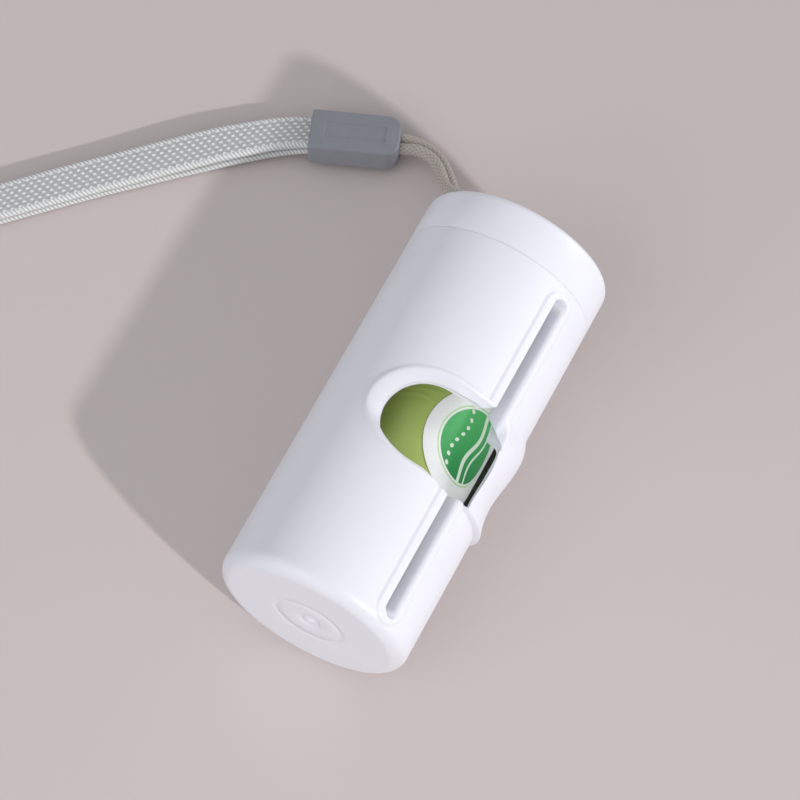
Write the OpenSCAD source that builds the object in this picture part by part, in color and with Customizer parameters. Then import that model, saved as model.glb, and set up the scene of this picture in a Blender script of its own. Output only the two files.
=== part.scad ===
// Waste bag dispenser: a round canister lying on its side, a screw cap, a roll of bags inside,
// and a wrist lanyard whose cord is knotted behind the cap.
// Millimetres. The canister's axis runs along +Y, from the closed end to the cap, and +Z is up.

/* [Canister] */
// Outside diameter of the canister and its cap
canister_d = 40; // [36:0.5:48]
// Height of the canister from its closed end to the cap's seam
canister_h = 80.7; // [72:0.1:97]
// Thickness of the round wall
wall = 2.5; // [2:0.1:3]
// Thickness of the closed end
floor_t = 1.8; // [1.2:0.1:3]
// Rounding of the closed end's rim
end_round = 2.8; // [1:0.1:3.5]
// Diameter of the ring engraved on the closed end
ring_d = 14; // [8:0.5:24]

/* [Cap] */
// Height of the cap from its seam to its flat top
cap_h = 9.7; // [8:0.1:12]
// Thickness of the cap's top
cap_top = 1.6; // [1.2:0.1:2.5]
// Thickness of the cap's skirt
cap_wall = 0.9; // [0.8:0.05:1]
// Rounding of the cap's rim
cap_round = 1.7; // [0.8:0.1:2]
// Diameter of the hole that the cord passes through
cord_hole_d = 5.8; // [5.6:0.1:6.6]

/* [Thread] */
// How far the neck steps in from the outside of the canister
neck_step = 1.6; // [1.5:0.05:1.7]
// Rise of the thread in one turn
thread_pitch = 3; // [2.6:0.1:3.6]
// Bare height of the neck below its thread
thread_foot = 2.6; // [2.4:0.1:3]
// Bare height of the neck above its thread
thread_head = 1.35; // [1.2:0.05:1.8]
// Running clearance between the neck and the cap
thread_gap = 0.15; // [0.1:0.05:0.2]

/* [Thumb window] */
// Height of the window, along the canister
window_h = 16.4; // [12:0.1:20]
// Distance from the closed end to the window's middle
window_mid = 40.4; // [34:0.1:46]
// Where the window's round end lies, in degrees from the top
window_start = -13.5; // [-20:0.5:0]
// Where the window ends at the lip, in degrees from the top
window_end = 61.5; // [58:0.5:66]
// Width of the raised border round the window
rim_w = 3.5; // [2:0.1:4.5]
// How far the border stands out of the canister
rim_rise = 0.3; // [0.2:0.05:0.6]
// Depth of the recess inside the border
recess_depth = 0.9; // [0.4:0.1:1.2]

/* [Tear slot] */
// Where the slot lies, in degrees from the top
slot_at = 51; // [49:0.5:53]
// Width of the slot
slot_w = 3.8; // [3:0.1:4.5]
// Distance from the closed end to the slot
slot_low = 3.5; // [3:0.1:8]
// Distance from the slot to the cap's seam
slot_high = 2.7; // [2:0.1:8]
// Thickness of the inward curl beside the slot
curl_t = 1.3; // [1:0.1:1.6]

/* [Lip] */
// How far the flared lip stands out of the canister
lip_rise = 1.2; // [0.6:0.1:2]
// Where the lip runs out, in degrees from the top
lip_end = 128; // [100:1:140]

/* [Bag roll] */
// Room across the bore that the roll leaves free
roll_play = 6; // [4:0.5:10]
// Room along the bore that the roll leaves free
roll_end_play = 27; // [12:0.5:34]
// Outside diameter of the paper core
core_d = 12; // [10:0.5:15]
// Thickness of the core's paper tube
core_t = 1.6; // [1:0.1:2]
// Diameter of the round paper label
label_d = 23.2; // [14:0.2:28]
// Where the middle of the label lies on the roll, in degrees from the top
label_at = 58; // [30:1:80]

/* [Lanyard] */
// Diameter of the cord
cord_d = 2.5; // [2:0.1:2.6]
// Diameter of the stopper knot behind the cap
knot_d = 7.6; // [7:0.1:9]
// Width of the webbing
strap_w = 8; // [6:0.5:9]
// Thickness of one layer of webbing
strap_t = 1.5; // [1:0.1:1.6]
// Length of the connector
connector_l = 19; // [16:0.5:22]
// Width of the connector
connector_w = 10.5; // [10:0.1:13]
// Thickness of the connector
connector_t = 5.5; // [5:0.1:7]

/* [Hidden] */
$fn = 96;

// Canister, neck and cap
body_r = canister_d / 2;
bore_r = body_r - wall;
total_h = canister_h + cap_h;
ceiling_h = total_h - cap_top;
neck_r = body_r - neck_step;
neck_top = ceiling_h - 0.4;
cap_bore_r = body_r - cap_wall;
seam_gap = 0.15;
axis_x = -lip_rise / 2;

// Thread: both ridges climb alike, the cap's under the neck's
ridge_w = 1.1;
ridge_tip_w = 0.5;
ridge_sink = 0.15;
ridge_drop = 1.4;
ridge_steps = 16;
ridge_lap = 1;
ridge_tip_step = 0.02;
neck_ridge_r = cap_bore_r - thread_gap;
cap_ridge_r = neck_r + thread_gap + 0.05;
ridge_low = canister_h + thread_foot;
ridge_climb = neck_top - thread_head - ridge_low;

// Window, recess, slot and curl
window_low = window_mid - window_h / 2;
window_high = window_mid + window_h / 2;
window_at = (window_start + window_end) / 2;
window_left = body_r * sin(window_start - window_at);
window_right = (body_r + lip_rise / 2) * sin(window_end - window_at);
round_end_w = 10;
corner_r = 4;
border_end = body_r * sin(slot_at - window_at);
recess_w = rim_w / 2;
slot_end = canister_h - slot_high;
slot_rim_w = 2;
curl_root = slot_at + 9;
curl_tip = slot_at - 7;
curl_dip = wall + 0.9;
curl_steps = 8;
curl_gap_low = 1.8;
curl_gap_high = 0.9;
curl_past = 0.6;

// Lip: two humps with a saddle between them
lip_low = window_low - 0.8;
lip_saddle = window_mid - 2.1;
lip_crest = window_high + 0.4;
lip_top = window_high + 5.4;
saddle_rise = lip_rise / 12;

// Closed end
ring_line = 0.3;
ring_depth = 0.25;
gate_r = 1.8;
gate_nub_r = 0.8;

// Bag roll, lying on the bottom of the bore
roll_r = bore_r - roll_play / 2;
roll_l = ceiling_h - floor_t - roll_end_play;
roll_rest_gap = 0.3;
roll_drop = bore_r - roll_r - roll_rest_gap;
roll_mid = total_h / 2 - 0.5;
core_gap = 0.1;
label_t = 0.15;
label_gap = 0.02;

// Connector: where its middle lies, how it is turned, and how its near edge is lifted
connector_at = [-46, 60.5, 3.8];
connector_turn = 21;
connector_tilt = 10;
connector_round = 2.6;
pocket_depth = 3.5;
pocket_gap = 0.3;
strand_gap = 0.15;
strand_apart = 2.6;
panel_l = 13;
panel_w = 4.2;
panel_line = 0.35;
panel_depth = 0.2;

// Route of the doubled cord, from inside the cap to the connector, midway between its strands,
// and how far the near strand lies from it
cord_route = [
    [-0.6, 40.2, 20], [-0.6, 43, 20], [-0.6, 45.8, 20], [-1.4, 48.4, 19.9], [-3.8, 50.7, 19.1],
    [-7.4, 52.2, 17.6], [-11.4, 53.2, 15.4], [-15.4, 54.2, 12.6], [-19, 55.4, 9.8],
    [-22, 57.4, 7.2], [-24.3, 60, 5.4], [-26.7, 62.6, 4.3], [-29.6, 64.5, 3.8],
    [-33.3, 65, 3.8], [-37.2, 63.9, 3.8], [-39.9, 62.8, 3.8]
];
strand_lean = [
    [0, 0, 1.3], [0, 0, 1.3], [0, 0, 1.3], [-0.1, 0, 1.3], [-0.4, 0.2, 1.2],
    [-0.6, 0.2, 1.2], [-0.7, 0, 1.1], [-0.7, 0, 1.1], [-0.7, -0.2, 1.1],
    [-0.9, -0.3, 0.9], [-0.9, -0.3, 0.9], [-0.7, -0.5, 0.9], [-0.4, -0.9, 0.8],
    [0.1, -1.1, 0.6], [0.5, -1.2, 0.2], [0.5, -1.2, 0.2]
];
cord_sides = 8;

// Route of the doubled webbing, from inside the connector to its fold, midway between its layers;
// the fourth number is half the distance between the layers
strap_route = [
    [-52.1, 58.2, 3.8, 0.9], [-54.9, 57.1, 3.8, 0.9], [-58.5, 55.4, 3.4, 1.0],
    [-62.3, 53, 3.1, 1.1], [-66.3, 50, 2.8, 1.2], [-70.4, 46.7, 2.6, 1.3],
    [-74.5, 43.1, 2.4, 1.3], [-78.6, 39.4, 2.3, 1.2], [-82.7, 35.6, 2.2, 1.1],
    [-86.9, 31.7, 2.1, 1.0], [-91.2, 27.7, 2, 1], [-97, 22, 2, 1], [-103, 16, 2, 1],
    [-110, 9, 2, 1], [-117, 1.6, 2, 1], [-123.6, -6, 2, 1], [-129.8, -14, 2, 1],
    [-135.4, -22.4, 2, 1], [-140.2, -31, 2.2, 1.2], [-144, -40, 2.6, 1.6], [-146, -46, 3, 2]
];
strap_flat_from = 6;
fold_steps = 6;

// Places children, drawn standing on their end, along the canister's axis
module lying() {
    translate([axis_x, -total_h / 2, body_r]) rotate([-90, 0, 0]) children();
}

// Turns a drawing of (round the canister, along it) to face outwards at an angle from the top
module facing(angle) {
    rotate([0, 0, angle]) rotate([90, 0, 0]) children();
}

// Cuts or pads with an outline, through the wall at an angle from the top
module through_wall(angle) {
    facing(angle) translate([0, 0, bore_r / 2]) linear_extrude(body_r) children();
}

module tube(outer_r, inner_r, height) {
    difference() {
        cylinder(r = outer_r, h = height);
        translate([0, 0, -1]) cylinder(r = inner_r, h = height + 2);
    }
}

// Skin through rings of as many points each, closed at both ends
module skin(rings) {
    sides = len(rings[0]);
    last = len(rings) - 1;
    points = [for (ring = rings) each ring];
    walls = [
        for (i = [0:last - 1], j = [0:sides - 1])
            let (k = (j + 1) % sides, a = i * sides, b = a + sides)
                each [[a + j, b + j, b + k], [a + j, b + k, a + k]]
    ];
    start = [[for (j = [0:sides - 1]) j]];
    finish = [[for (j = [sides - 1:-1:0]) last * sides + j]];
    polyhedron(points = points, faces = concat(walls, start, finish));
}

// One ridge of thread, in short level arcs that climb together: its foot is sunk in its wall.
// Every other arc is a little lower, so that no two tips share a surface.
module ridge(foot_r, tip_r, low) {
    arc = 360 / ridge_steps;
    for (i = [0:round(ridge_climb / thread_pitch * ridge_steps) - 1])
        translate([0, 0, low + thread_pitch * i / ridge_steps])
            rotate([0, 0, i * arc])
                rotate_extrude(angle = arc + ridge_lap) {
                    tip = tip_r + (foot_r - tip_r) * ridge_tip_step * (i % 2);
                    polygon([
                        [foot_r, -ridge_w / 2], [foot_r, ridge_w / 2],
                        [tip, ridge_tip_w / 2], [tip, -ridge_tip_w / 2]
                    ]);
                }
}

function unit(v) = v / norm(v);

// Outline of a solid with a rounded rim, to be turned round the axis
module rounded_profile(r, h, round_r) {
    square([r - round_r, h]);
    square([r, h - round_r]);
    translate([r - round_r, h - round_r]) circle(r = round_r);
}

// Round end of the window, grown outwards
function round_end(grow) = [
    for (a = [90:7.5:270])
        [
            window_left + round_end_w + (round_end_w + grow) * cos(a),
            window_mid + (window_h / 2 + grow) * sin(a)
        ]
];

// Window outline: the round end and, at the lip, a rounded upper corner
module window_outline() {
    polygon([
        each round_end(0), [window_right, window_low],
        for (a = [0:7.5:90])
            [window_right - corner_r * (1 - cos(a)), window_high - corner_r * (1 - sin(a))]
    ]);
}

// Outline of the window's border, as far as the slot
module border_outline(grow) {
    half_h = window_h / 2 + grow;
    polygon([each round_end(grow), [border_end, window_mid - half_h], [border_end, window_mid + half_h]]);
}

module slot_outline(grow) {
    half = slot_w / 2 + grow;
    low = slot_low + slot_w / 2;
    high = slot_end - slot_w / 2;
    translate([-half, low]) square([2 * half, high - low]);
    translate([0, low]) circle(r = half);
    translate([0, high]) circle(r = half);
}

// Wall beside the slot, curling inwards under the other edge
module curl(low, high) {
    function at(t, inset) =
        let (
            a = curl_root + t * (curl_tip - curl_root) - 90,
            r = body_r - curl_dip * (1 - cos(90 * t)) - inset
        ) [r * cos(a), r * sin(a)];
    translate([0, 0, low])
        linear_extrude(high - low)
            polygon([
                for (i = [0:curl_steps]) at(i / curl_steps, 0),
                for (i = [curl_steps:-1:0]) at(i / curl_steps, curl_t)
            ]);
}

function lip_shape(h) =
    h < lip_saddle ? saddle_rise + (lip_rise - saddle_rise) * pow((lip_saddle - h) / (lip_saddle - lip_low), 2)
    : h < lip_crest ? saddle_rise + (lip_rise - saddle_rise) * (h - lip_saddle) / (lip_crest - lip_saddle)
    : lip_rise * (1 + cos(180 * (h - lip_crest) / (lip_top - lip_crest))) / 2;

// Flared lip on the far side of the window
module lip() {
    steps = 16;
    rotate([0, 0, window_end - 90])
        rotate_extrude(angle = lip_end - window_end)
            polygon([
                [bore_r + wall / 2, lip_low],
                for (i = [0:steps])
                    let (h = lip_low + (lip_top - lip_low) * i / steps) [body_r + lip_shape(h), h],
                [bore_r + wall / 2, lip_top]
            ]);
}

module end_engraving() {
    translate([0, 0, -1]) tube(ring_d / 2 + ring_line / 2, ring_d / 2 - ring_line / 2, 1 + ring_depth);
    translate([0, 0, -1]) tube(gate_r, gate_nub_r, 1 + ring_depth);
}

// One-piece moulded canister: round wall, closed end, neck and thread
module canister_body() {
    color("whitesmoke") lying() {
        difference() {
            union() {
                translate([0, 0, canister_h]) rotate([180, 0, 0])
                    rotate_extrude() rounded_profile(body_r, canister_h, end_round);
                cylinder(r = neck_r, h = neck_top);
                lip();
                intersection() {
                    cylinder(r = body_r + rim_rise, h = canister_h);
                    union() {
                        through_wall(window_at) border_outline(rim_w);
                        through_wall(slot_at) slot_outline(slot_rim_w);
                    }
                }
            }
            translate([0, 0, floor_t]) cylinder(r = bore_r, h = total_h);
            difference() {
                through_wall(window_at) border_outline(recess_w);
                cylinder(r = body_r - recess_depth, h = total_h);
            }
            through_wall(window_at) window_outline();
            through_wall(slot_at) slot_outline(0);
            end_engraving();
        }
        curl(slot_low - curl_past, window_low - curl_gap_low);
        curl(window_high + curl_gap_high, slot_end + curl_past);
        ridge(neck_r - ridge_sink, neck_ridge_r, ridge_low);
    }
}

// Screw cap: a skirt flush with the canister, and a hole for the cord
module screw_cap() {
    skirt_low = canister_h + seam_gap;
    color("white") lying() {
        difference() {
            translate([0, 0, skirt_low])
                rotate_extrude() rounded_profile(body_r, total_h - skirt_low, cap_round);
            translate([0, 0, skirt_low - 1]) cylinder(r = cap_bore_r, h = ceiling_h - skirt_low + 1);
            cylinder(d = cord_hole_d, h = total_h + 1);
        }
        ridge(cap_bore_r + ridge_sink, cap_ridge_r, ridge_low - ridge_drop);
    }
}

// Places children on the roll's own axis, at the lower end of the roll
module on_roll() {
    lying() translate([0, roll_drop, roll_mid - roll_l / 2]) children();
}

// Bags wound into a roll
module bag_roll() {
    color("yellowgreen") on_roll() tube(roll_r, core_d / 2 + core_gap, roll_l);
}

module roll_core() {
    color("burlywood") on_roll() tube(core_d / 2, core_d / 2 - core_t, roll_l);
}

// Round paper label that holds the end of the roll down
module roll_label() {
    inner_r = roll_r + label_gap;
    color("white") on_roll()
        intersection() {
            tube(inner_r + label_t, inner_r, roll_l);
            facing(label_at)
                linear_extrude(2 * roll_r)
                    translate([0, roll_l / 2])
                        polygon([
                            for (a = [0:7.5:352.5])
                                let (arc = label_d / 2 * cos(a) * 180 / (PI * roll_r))
                                    [roll_r * sin(arc), label_d / 2 * sin(a)]
                        ]);
        }
}

// Rings of a round tube along a route
function tube_rings(route, d, sides) = [
    for (i = [0:len(route) - 1])
        let (
            ahead = unit(route[min(i + 1, len(route) - 1)] - route[max(i - 1, 0)]),
            side = unit(cross(ahead, [0, 0, 1])),
            rise = cross(side, ahead)
        ) [
            for (j = [0:sides - 1])
                let (a = 360 * j / sides) route[i] + (side * cos(a) + rise * sin(a)) * d / 2
        ]
];

// Cord, doubled: both ends go through the cap to the knot, and the middle is in the connector
module cord_loop() {
    color("tan")
        for (way = [1, -1]) {
            route = [for (i = [0:len(cord_route) - 1]) cord_route[i] + way * strand_lean[i]];
            skin(tube_rings(route, cord_d, cord_sides));
        }
}

// Stopper knot under the cap's top
module cord_knot() {
    color("tan") lying() translate([0, 0, ceiling_h - knot_d / 2 - 0.3]) sphere(d = knot_d);
}

// Places children at the connector, with +X towards the cord
module at_connector() {
    translate(connector_at) rotate([-connector_tilt, 0, connector_turn]) children();
}

// Moulded block that grips the webbing and the cord
module lanyard_connector() {
    half_l = connector_l / 2;
    half_w = connector_w / 2;
    pocket_h = strap_t + 2 * strap_route[0][3] + pocket_gap;
    color("slategray") at_connector()
        difference() {
            translate([0, 0, -connector_t / 2])
                linear_extrude(connector_t) {
                    translate([-half_l, -half_w])
                        square([connector_l - connector_round, connector_w]);
                    translate([0, -half_w + connector_round])
                        square([half_l, connector_w - 2 * connector_round]);
                    for (side = [-1, 1])
                        translate([half_l - connector_round, side * (half_w - connector_round)])
                            circle(r = connector_round);
                }
            translate([-half_l - 1, -strap_w / 2 - pocket_gap, -pocket_h / 2])
                cube([pocket_depth + 1, strap_w + 2 * pocket_gap, pocket_h]);
            for (side = [-1, 1])
                translate([half_l - pocket_depth, side * strand_apart / 2, 0])
                    rotate([0, 90, 0]) cylinder(d = cord_d + 2 * strand_gap, h = pocket_depth + 1);
            translate([0, 0, connector_t / 2 - panel_depth])
                linear_extrude(1)
                    difference() {
                        square([panel_l, panel_w], center = true);
                        square([panel_l - 2 * panel_line, panel_w - 2 * panel_line], center = true);
                    }
        }
}

// Section of one webbing layer: across it, and out from the other layer
strap_section = [
    for (p = [[-1, -0.5], [-0.9, -1], [0.9, -1], [1, -0.5], [1, 0.5], [0.9, 1], [-0.9, 1], [-1, 0.5]])
        [p[0] * strap_w / 2, p[1] * strap_t / 2]
];

function strap_at(i) = [for (k = [0:2]) strap_route[i][k]];
function strap_ahead(i) =
    let (d = strap_at(min(i + 1, len(strap_route) - 1)) - strap_at(max(i - 1, 0))) unit([d[0], d[1], 0]);
function strap_tilt(i) = connector_tilt * max(0, 1 - max(0, i - 1) / (strap_flat_from - 1));
function strap_side(i) =
    let (d = strap_ahead(i)) [-d[1], d[0], 0] * cos(strap_tilt(i)) + [0, 0, 1] * sin(strap_tilt(i));
function strap_rise(i) = cross(strap_ahead(i), strap_side(i));
function strap_ring(i, turn) =
    let (out = strap_rise(i) * cos(turn) + strap_ahead(i) * sin(turn))
        [for (p = strap_section) strap_at(i) + out * (strap_route[i][3] + p[1]) + strap_side(i) * p[0]];

// Wrist strap: webbing out from the connector, folded, and back on top
module wrist_strap() {
    last = len(strap_route) - 1;
    color("silver")
        skin([
            for (i = [0:last - 1]) strap_ring(i, 180),
            for (i = [0:fold_steps]) strap_ring(last, 180 - 180 * i / fold_steps),
            for (i = [last - 1:-1:0]) strap_ring(i, 0)
        ]);
}

canister_body();
screw_cap();
bag_roll();
roll_core();
roll_label();
cord_loop();
cord_knot();
lanyard_connector();
wrist_strap();
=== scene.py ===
import math

import bpy
import numpy as np
from mathutils import Matrix, Vector


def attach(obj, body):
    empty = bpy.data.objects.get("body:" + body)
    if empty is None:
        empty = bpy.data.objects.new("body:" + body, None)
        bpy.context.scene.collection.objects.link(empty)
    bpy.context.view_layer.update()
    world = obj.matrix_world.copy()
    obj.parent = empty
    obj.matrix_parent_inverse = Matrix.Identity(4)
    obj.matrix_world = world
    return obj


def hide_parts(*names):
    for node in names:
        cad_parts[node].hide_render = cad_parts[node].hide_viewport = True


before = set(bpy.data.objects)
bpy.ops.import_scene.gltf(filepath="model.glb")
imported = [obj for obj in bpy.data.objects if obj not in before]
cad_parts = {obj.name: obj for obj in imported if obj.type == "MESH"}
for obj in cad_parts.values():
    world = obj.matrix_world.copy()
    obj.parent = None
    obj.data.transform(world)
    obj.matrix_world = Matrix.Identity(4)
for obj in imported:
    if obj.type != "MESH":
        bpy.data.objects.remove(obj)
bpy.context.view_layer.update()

# ---- The room: a pale table top, four lamps, a soft sky, and the camera
# A small key lamp stands at the right, large soft ones in front and at the left, a low one behind.
# The camera looks down on the canister from over its closed end, a little to its right.
MM = 0.001
scene = bpy.context.scene
scene.view_settings.view_transform = "Standard"

camera_turn = math.radians(27.318)
camera_rise = math.radians(64.868)
camera_distance = 0.70124
camera_target = Vector((-6.515, 4.509, 20.0)) * MM
camera_lens = 159.73

back = Vector((
    math.sin(camera_turn) * math.cos(camera_rise),
    -math.cos(camera_turn) * math.cos(camera_rise),
    math.sin(camera_rise),
))
right = Vector((0, 0, 1)).cross(back).normalized()
up = back.cross(right)
camera = bpy.data.objects.new("camera", bpy.data.cameras.new("camera"))
scene.collection.objects.link(camera)
place = Matrix((right, up, back)).transposed().to_4x4()
place.translation = camera_target + back * camera_distance
camera.matrix_world = place
camera.data.lens = camera_lens
camera.data.clip_start = 0.01
scene.camera = camera

lamps_aim = Vector((0, 0, 0.02))
for name, at, size, watts, color in (
    ("key_lamp", (0.932, -0.432, 0.638), 0.04, 6.6, (1.0, 0.99, 0.98)),
    ("front_lamp", (-0.376, -0.908, 0.708), 1.3, 5.25, (0.95, 0.965, 1.0)),
    ("rim_lamp", (0.82, 0.82, 0.33), 0.4, 6.0, (0.965, 0.97, 1.0)),
    ("side_lamp", (-0.688, 0.0, 1.003), 1.3, 1.7, (0.95, 0.965, 1.0)),
):
    light = bpy.data.lights.new(name, "AREA")
    light.size, light.energy, light.color = size, watts, color
    holder = bpy.data.objects.new(name, light)
    scene.collection.objects.link(holder)
    holder.location = at
    holder.rotation_euler = (lamps_aim - Vector(at)).to_track_quat("-Z", "Y").to_euler()

world = bpy.data.worlds.new("room")
scene.world = world
world.use_nodes = True
sky = world.node_tree.nodes["Background"]
sky.inputs["Color"].default_value = (0.95, 0.97, 1.0, 1)
sky.inputs["Strength"].default_value = 0.38


class Socket:
    """A node socket that takes part in sums; an expression adds its Math nodes."""

    def __init__(self, tree, link):
        self.tree = tree
        self.link = link

    def math(self, operation, *others):
        node = self.tree.nodes.new("ShaderNodeMath")
        node.operation = operation
        for place, value in zip(node.inputs, (self, *others)):
            self.tree.feed(place, value)
        return Socket(self.tree, node.outputs[0])

    def __add__(self, other):
        return self.math("ADD", other)

    __radd__ = __add__

    def __mul__(self, other):
        return self.math("MULTIPLY", other)

    __rmul__ = __mul__

    def __sub__(self, other):
        return self.math("SUBTRACT", other)

    def __rsub__(self, other):
        return (self * -1.0) + other

    def __truediv__(self, other):
        return self.math("DIVIDE", other)

    def __pow__(self, other):
        return self.math("POWER", other)


class Finish:
    """A material with one Principled shader, and one method that adds any other node."""

    def __init__(self, name, color, roughness, **sockets):
        self.material = bpy.data.materials.new(name)
        self.material.use_nodes = True
        self.material.diffuse_color = (*color, 1)
        self.nodes = self.material.node_tree.nodes
        self.shader = self.nodes["Principled BSDF"]
        self.shader.inputs["Base Color"].default_value = (*color, 1)
        self.shader.inputs["Roughness"].default_value = roughness
        for socket, value in sockets.items():
            self.shader.inputs[socket.replace("_", " ")].default_value = value

    def feed(self, place, value):
        if isinstance(value, Socket):
            self.material.node_tree.links.new(value.link, place)
        else:
            place.default_value = value

    def add(self, kind, settings=None, output=0, **inputs):
        """Adds a node; an input is given by its name, or by the letter n and its number."""
        node = self.nodes.new("ShaderNode" + kind)
        for name, value in (settings or {}).items():
            setattr(node, name, value)
        for name, value in inputs.items():
            by_number = name[0] == "n" and name[1:].isdigit()
            key = int(name[1:]) if by_number else name.replace("_", " ")
            self.feed(node.inputs[key], value)
        return Socket(self, node.outputs[output])

    def place(self):
        return self.add("TexCoord", None, "Object")

    def uv(self, name):
        return self.add("UVMap", {"uv_map": name})

    def split(self, where):
        """The x, y and z of a place."""
        first = self.add("SeparateXYZ", Vector=where)
        return [Socket(self, output) for output in first.link.node.outputs]

    def noise(self, where, scale, detail=2.0, roughness=0.5):
        return self.add(
            "TexNoise", None, "Fac",
            Vector=where, Scale=scale, Detail=detail, Roughness=roughness,
        )

    def stretched_noise(self, where, scales, detail=2.0, roughness=0.5):
        """Noise with a scale of its own along each axis."""
        return self.noise(self.add("Mapping", Vector=where, Scale=scales), 1.0, detail, roughness)

    def mix(self, share, one, two):
        return self.add("Mix", {"data_type": "RGBA"}, 2, n0=share, n6=one, n7=two)

    def bump(self, height, distance, strength=1.0):
        return self.add("Bump", None, "Normal", Height=height, Distance=distance, Strength=strength)

    def put(self, **sockets):
        for socket, value in sockets.items():
            self.feed(self.shader.inputs[socket.replace("_", " ")], value)


floor_finish = Finish("table_top", (0.675, 0.598, 0.579), 0.7)
bpy.ops.mesh.primitive_plane_add(size=6, location=(0, 0, 0))
floor = bpy.context.object
floor.name = "table_top"
floor.data.materials.append(floor_finish.material)


# ---- Connector: one moulded block of satin grey plastic, rounded where the cord goes in
# The webbing sits in a slot in one end and the two strands of cord in round holes in the other.
# Its top has a shallow panel pressed into it.
connector_l, connector_w, connector_t = 19.0, 10.5, 5.5
cord_end_corner, strap_end_corner, soft_edge = 3.0, 0.6, 0.5
connector_at, connector_turn, connector_tilt = (-46, 60.5, 3.8), 21, -10
pocket_deep, pocket_w, pocket_t = 3.5, 8.6, 3.6
strand_hole_r, strand_off = 1.4, 1.3
panel_l, panel_w, panel_deep, panel_slope = 13.0, 4.2, 0.16, 0.15


def select_only(*pieces):
    """Selects these pieces and nothing else, and makes the first one active."""
    bpy.ops.object.select_all(action="DESELECT")
    for piece in pieces:
        piece.select_set(True)
    bpy.context.view_layer.objects.active = pieces[0]


def laid(at, *turns):
    """A piece's place: a point in mm, and turns of so many degrees about its axes."""
    place = Matrix.Translation(Vector(at) * MM)
    for degrees, axis in turns:
        place = place @ Matrix.Rotation(math.radians(degrees), 4, axis)
    return place


def fix_place():
    bpy.ops.object.transform_apply(location=True, rotation=True, scale=True)


def primitive(name, kind, **settings):
    """Adds a primitive, alone in the selection."""
    bpy.ops.object.select_all(action="DESELECT")
    getattr(bpy.ops.mesh, f"primitive_{kind}_add")(**settings)
    piece = bpy.context.object
    piece.name = name
    return piece


def block(name, size, at=(0, 0, 0)):
    """A box of a size at a place, both in mm."""
    piece = primitive(name, "cube", size=1, location=Vector(at) * MM)
    piece.scale = Vector(size) * MM
    fix_place()
    return piece


def choose(piece, kind, test):
    """In edit mode, selects only the edges or faces whose middle and vertices pass a test."""
    bpy.context.view_layer.objects.active = piece
    bpy.ops.object.mode_set(mode="EDIT")
    bpy.ops.mesh.select_mode(type=kind)
    bpy.ops.mesh.select_all(action="DESELECT")
    bpy.ops.object.mode_set(mode="OBJECT")
    mesh = piece.data
    for item in (mesh.edges if kind == "EDGE" else mesh.polygons):
        ends = [mesh.vertices[v].co / MM for v in item.vertices]
        item.select = test(sum(ends, Vector()) / len(ends), ends)
    bpy.ops.object.mode_set(mode="EDIT")


def bevel_edges(piece, width, segments, test):
    """Rounds the edges that pass a test."""
    choose(piece, "EDGE", test)
    bpy.ops.mesh.bevel(offset=width * MM, segments=segments, affect="EDGES")
    bpy.ops.object.mode_set(mode="OBJECT")


def modify(piece, kind, **settings):
    """Adds a modifier and applies it."""
    modifier = piece.modifiers.new(kind.lower(), kind)
    for key, value in settings.items():
        setattr(modifier, key, value)
    bpy.context.view_layer.objects.active = piece
    bpy.ops.object.modifier_apply(modifier=modifier.name)


def cut(piece, cutter):
    modify(piece, "BOOLEAN", operation="DIFFERENCE", solver="EXACT", object=cutter)
    bpy.data.objects.remove(cutter, do_unlink=True)


def settle(piece, place, angle):
    """Puts a finished piece in its place, in its mesh, and shades it smooth up to an angle."""
    select_only(piece)
    piece.matrix_world = place @ piece.matrix_world
    fix_place()
    bpy.ops.object.shade_smooth_by_angle(angle=math.radians(angle))


def is_upright(ends):
    return abs(ends[0].z - ends[1].z) > 1


connector = block("connector_block", (connector_l, connector_w, connector_t))
bevel_edges(connector, cord_end_corner, 12, lambda mid, ends: is_upright(ends) and mid.x > 0)
bevel_edges(connector, strap_end_corner, 4, lambda mid, ends: (
    is_upright(ends) and mid.x < -connector_l / 2 + 0.1))
modify(
    connector, "BEVEL",
    limit_method="ANGLE", angle_limit=math.radians(60), width=soft_edge * MM, segments=5,
)
cut(connector, block("pocket", (2 * pocket_deep, pocket_w, pocket_t), (-connector_l / 2, 0, 0)))
for off in (-strand_off, strand_off):
    cut(connector, primitive(
        "strand_hole", "cylinder", vertices=48, radius=strand_hole_r * MM,
        depth=2 * pocket_deep * MM, location=Vector((connector_l / 2, off, 0)) * MM,
        rotation=(0, math.pi / 2, 0),
    ))
panel = block("panel", (panel_l, panel_w, 2 * panel_deep), (0, 0, connector_t / 2))
modify(panel, "BEVEL", width=panel_slope * MM, segments=1)
cut(connector, panel)
settle(connector, laid(connector_at, (connector_turn, "Z"), (connector_tilt, "X")), 35)

grey = Finish("grey_satin_plastic", (0.286, 0.292, 0.321), 0.5)
mottle = grey.noise(grey.place(), 420.0, 4.0, 0.6)
grain = grey.noise(grey.place(), 5200.0)
grey.put(
    Base_Color=grey.mix(mottle, (0.256, 0.262, 0.297, 1), (0.312, 0.318, 0.347, 1)),
    Roughness=mottle * 0.16 + 0.42,
    Normal=grey.bump(grain, 0.00002, 0.5),
)
connector.data.materials.append(grey.material)
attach(connector, "lanyard")
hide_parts("lanyard_connector")


# ---- Cord: round braided polyester, 2.5 mm thick, warm grey, doubled
# Both ends go through the cap's hole to a knot behind it. Its middle is gripped in the connector.
def distances(line):
    """How far along a line each of its points lies."""
    return np.concatenate([[0], np.cumsum(np.linalg.norm(np.diff(line, axis=0), axis=1))])


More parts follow.
